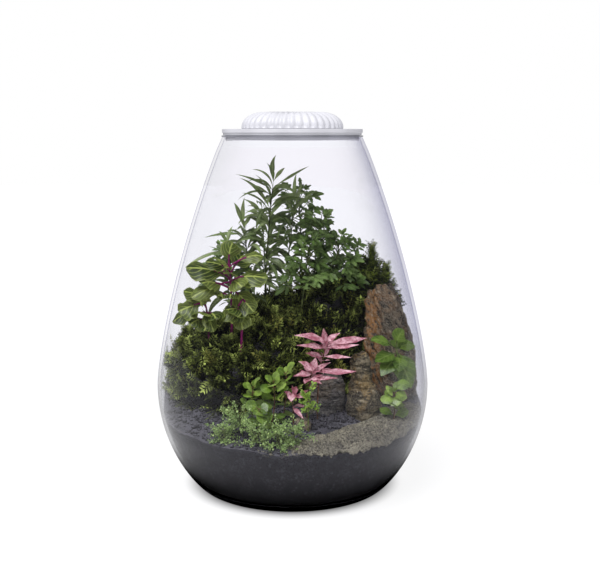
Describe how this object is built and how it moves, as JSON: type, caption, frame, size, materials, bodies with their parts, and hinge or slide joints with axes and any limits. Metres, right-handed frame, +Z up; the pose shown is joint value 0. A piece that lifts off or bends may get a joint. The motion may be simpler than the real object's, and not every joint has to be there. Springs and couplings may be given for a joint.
{
  "type": "planted glass terrarium",
  "caption": "Closed drop-shaped glass terrarium with a finned lamp lid, planted with moss, stones, sand and small leafy plants.",
  "frame": {"origin": "centre of the glass foot, on the surface that it stands on", "axes": "+Z up; -Y faces the viewer of the picture, with the sand bed at +X and the moss cushion at -X; +Y is the back, where the lamp's socket is"},
  "size_m": [0.282, 0.282, 0.3848],
  "materials": {
    "clear_glass": "clear, smooth",
    "white_plastic": "satin",
    "grey_silicone": "matt",
    "frosted_plastic": "frosted",
    "led_board": "solder mask",
    "black_plastic": "satin",
    "soil": "crumbly, damp",
    "sand": "fine grain",
    "rust_stone": "rough, layered",
    "tan_stone": "rough, layered",
    "slate_stone": "rough",
    "moss": "soft, tufted",
    "spruce_moss": "soft, tufted",
    "willow_leaf": "satin leaf",
    "aralia_leaf": "glossy leaf",
    "veined_leaf": "satin leaf",
    "pink_leaf": "satin leaf",
    "fresh_leaf": "glossy leaf",
    "lime_leaf": "satin leaf"
  },
  "bodies": {
    "root": {"glass_vessel": "clear_glass", "seal_ring": "grey_silicone", "lid_plate": "white_plastic", "led_board": "led_board", "lamp_diffuser": "frosted_plastic", "lamp_dome": "white_plastic", "power_inlet": "black_plastic", "soil": "soil", "stone_tall": "rust_stone", "stone_stack": "tan_stone", "stone_slab": "slate_stone", "stone_pebble": "tan_stone", "sand": "sand", "moss_left": "moss", "moss_back": "moss", "willow_tall": "willow_leaf", "willow_left": "willow_leaf", "willow_low": "willow_leaf", "willow_right": "willow_leaf", "willow_back": "willow_leaf", "aralia_front": "aralia_leaf", "aralia_middle": "aralia_leaf", "aralia_right": "aralia_leaf", "aralia_low": "aralia_leaf", "aralia_back": "aralia_leaf", "aralia_left": "aralia_leaf", "bloodleaf_upper": "veined_leaf", "bloodleaf_left": "veined_leaf", "bloodleaf_right": "veined_leaf", "pink_upper": "pink_leaf", "pink_middle": "pink_leaf", "pink_low": "pink_leaf", "broadleaf_upper": "fresh_leaf", "broadleaf_low": "fresh_leaf", "roundleaf_left": "fresh_leaf", "roundleaf_middle": "fresh_leaf", "roundleaf_right": "fresh_leaf", "roundleaf_front": "fresh_leaf", "sprout": "lime_leaf", "creeper_far_left": "lime_leaf", "creeper_left": "lime_leaf", "creeper_middle": "lime_leaf", "creeper_right": "lime_leaf", "creeper_far_right": "lime_leaf", "spruce_tall": "spruce_moss", "spruce_right": "spruce_moss", "spruce_left": "spruce_moss"}
  },
  "joints": []
}
